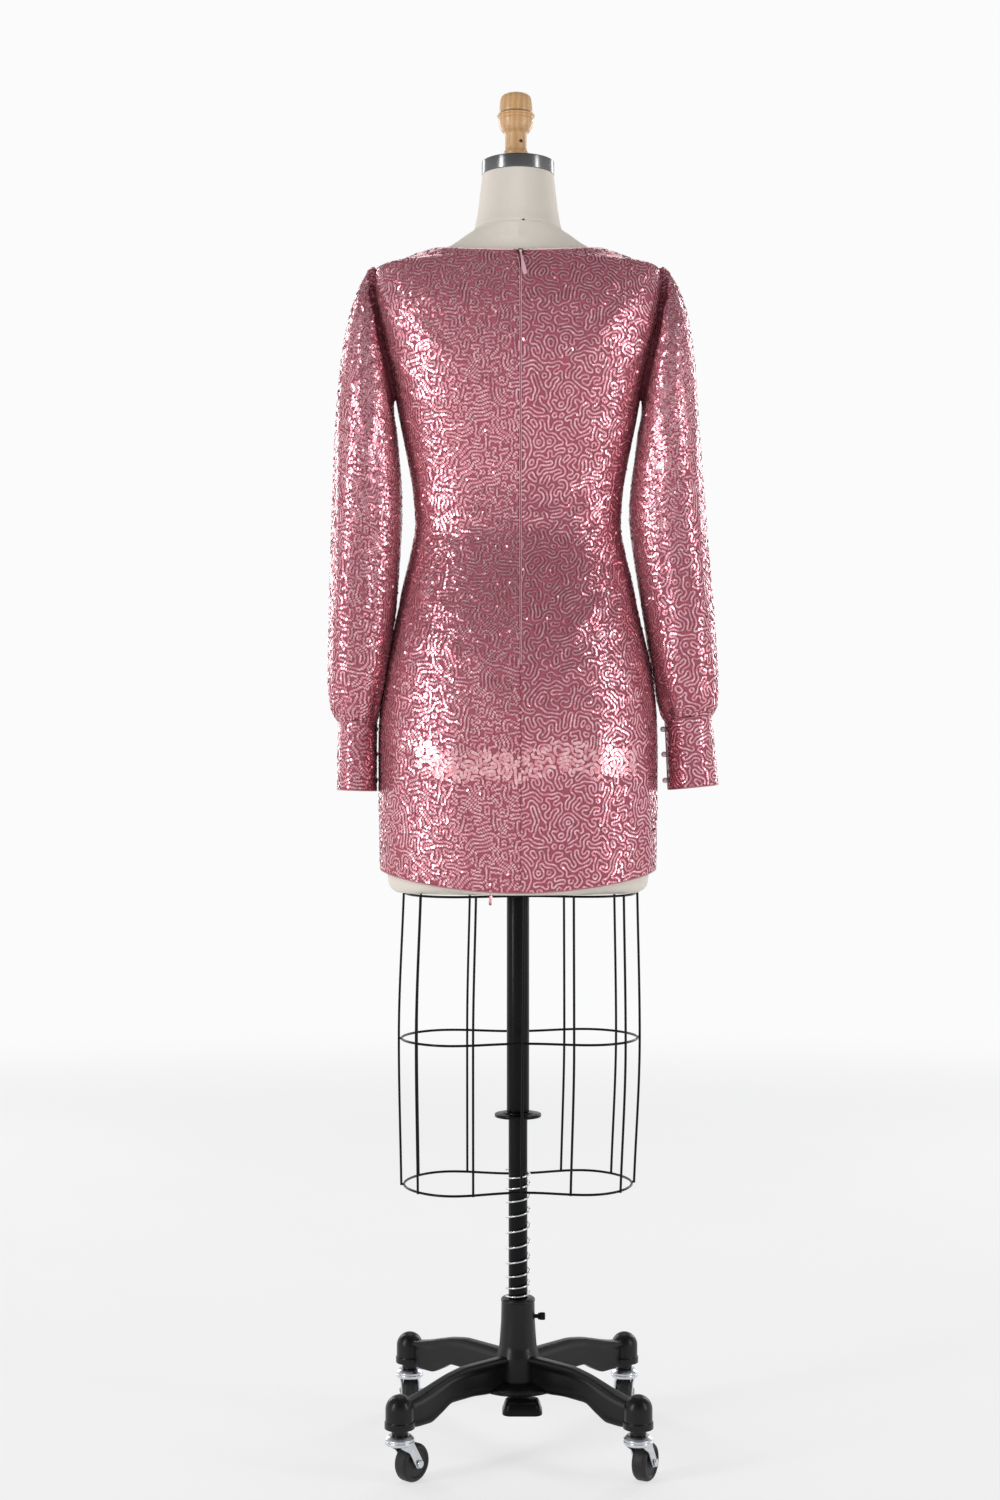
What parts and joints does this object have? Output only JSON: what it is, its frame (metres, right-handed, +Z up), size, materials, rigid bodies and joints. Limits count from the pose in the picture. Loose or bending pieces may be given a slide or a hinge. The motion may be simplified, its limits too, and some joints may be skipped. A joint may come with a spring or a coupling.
{
  "type": "cocktail dress on a dress form",
  "caption": "Long-sleeved mini sheath dress covered in rose pink sequins, worn by a limbless linen dress form with a wire skirt cage on a rolling cast stand.",
  "frame": {"origin": "on the floor under the middle of the whole part; the stand's pole is 13 mm towards +Y from it", "axes": "+Z up; +Y out of the dress's back, where the zip is, -Y out of its front; +X towards the wearer's left"},
  "size_m": [0.4703, 0.3341, 1.6403],
  "materials": {
    "sequin_cloth": "rose pink paillette sequins in a wandering vermicelli pattern on mesh, shiny",
    "zip_coil": "woven rose pink zip tape and nylon coil",
    "zip_metal": "dark metal slider, satin",
    "zip_pull": "pale pink lacquered pull tab",
    "pearl": "pearly ball buttons",
    "linen": "off-white stretched linen, matt plain weave",
    "polished_steel": "polished steel neck band",
    "turned_wood": "light turned wood, satin varnish",
    "black_enamel": "black gloss enamel on steel",
    "cast_iron": "black painted cast iron, fine sand texture",
    "zinc": "bright zinc plated steel",
    "wheel_rubber": "black hard rubber tread"
  },
  "bodies": {
    "base": {"base_casting": "cast_iron", "rod": "black_enamel", "spring": "zinc"},
    "form": {"front": "sequin_cloth", "back_left": "sequin_cloth", "back_right": "sequin_cloth", "sleeve_left": "sequin_cloth", "sleeve_right": "sequin_cloth", "cuff_left": "sequin_cloth", "cuff_right": "sequin_cloth", "button_left_1": "pearl", "button_left_2": "pearl", "button_left_3": "pearl", "button_right_1": "pearl", "button_right_2": "pearl", "button_right_3": "pearl", "zip_coil": "zip_coil", "zip_slider": "zip_metal", "form_torso": "linen", "neck_band": "polished_steel", "finial": "turned_wood", "upper_tube": "black_enamel", "tube_flange": "black_enamel", "cage_hoop_1": "black_enamel", "cage_hoop_2": "black_enamel", "cage_hoop_3": "black_enamel", "cage_wire_01": "black_enamel", "cage_wire_02": "black_enamel", "cage_wire_03": "black_enamel", "cage_wire_04": "black_enamel", "cage_wire_05": "black_enamel", "cage_wire_06": "black_enamel", "cage_wire_07": "black_enamel", "cage_wire_08": "black_enamel", "cage_wire_09": "black_enamel", "cage_wire_10": "black_enamel", "cage_wire_11": "black_enamel", "cage_wire_12": "black_enamel"},
    "zip_pull": {"zip_pull": "zip_pull"},
    "pedal": {"pedal": "black_enamel"},
    "set_screw": {"set_screw": "black_enamel"},
    "caster_1": {"caster_fork_1": "zinc", "caster_axle_1": "zinc"},
    "wheel_1": {"caster_wheel_1": "wheel_rubber"},
    "caster_2": {"caster_fork_2": "zinc", "caster_axle_2": "zinc"},
    "wheel_2": {"caster_wheel_2": "wheel_rubber"},
    "caster_3": {"caster_fork_3": "zinc", "caster_axle_3": "zinc"},
    "wheel_3": {"caster_wheel_3": "wheel_rubber"},
    "caster_4": {"caster_fork_4": "zinc", "caster_axle_4": "zinc"},
    "wheel_4": {"caster_wheel_4": "wheel_rubber"}
  },
  "joints": [
    {"name": "form_height", "type": "slide", "parent": "base", "child": "form", "axis": [0, 0, 1], "range_m": [-0.055, 0.15]},
    {"name": "zip_pull_swing", "type": "hinge", "parent": "form", "child": "zip_pull", "pos_m": [-0.0025, 0.08449, 1.43456], "axis": [1, 0, 0], "range_deg": [0, 150]},
    {"name": "pedal_press", "type": "hinge", "parent": "base", "child": "pedal", "pos_m": [0, 0.013, 0.068], "axis": [-1, 0, 0], "range_deg": [0, 10], "stiffness_Nm_per_rad": 3, "springref_deg": -6.88},
    {"name": "set_screw_turn", "type": "hinge", "parent": "base", "child": "set_screw", "pos_m": [-0.02, 0.013, 0.1595], "axis": [1, 0, 0], "continuous": true},
    {"name": "caster_swivel_1", "type": "hinge", "parent": "base", "child": "caster_1", "pos_m": [0.137, 0.15, 0.055], "axis": [0, 0, 1], "continuous": true},
    {"name": "wheel_roll_1", "type": "hinge", "parent": "caster_1", "child": "wheel_1", "pos_m": [0.12382, 0.1343, 0.0222], "axis": [0.766, -0.6428, 0], "continuous": true},
    {"name": "caster_swivel_2", "type": "hinge", "parent": "base", "child": "caster_2", "pos_m": [-0.137, 0.15, 0.055], "axis": [0, 0, 1], "continuous": true},
    {"name": "wheel_roll_2", "type": "hinge", "parent": "caster_2", "child": "wheel_2", "pos_m": [-0.14631, 0.13173, 0.0222], "axis": [0.891, -0.454, 0], "continuous": true},
    {"name": "caster_swivel_3", "type": "hinge", "parent": "base", "child": "caster_3", "pos_m": [-0.137, -0.124, 0.055], "axis": [0, 0, 1], "continuous": true},
    {"name": "wheel_roll_3", "type": "hinge", "parent": "caster_3", "child": "wheel_3", "pos_m": [-0.13628, -0.14449, 0.0222], "axis": [0.9994, 0.0349, 0], "continuous": true},
    {"name": "caster_swivel_4", "type": "hinge", "parent": "base", "child": "caster_4", "pos_m": [0.137, -0.124, 0.055], "axis": [0, 0, 1], "continuous": true},
    {"name": "wheel_roll_4", "type": "hinge", "parent": "caster_4", "child": "wheel_4", "pos_m": [0.13628, -0.14449, 0.0222], "axis": [0.9994, -0.0349, 0], "continuous": true}
  ]
}
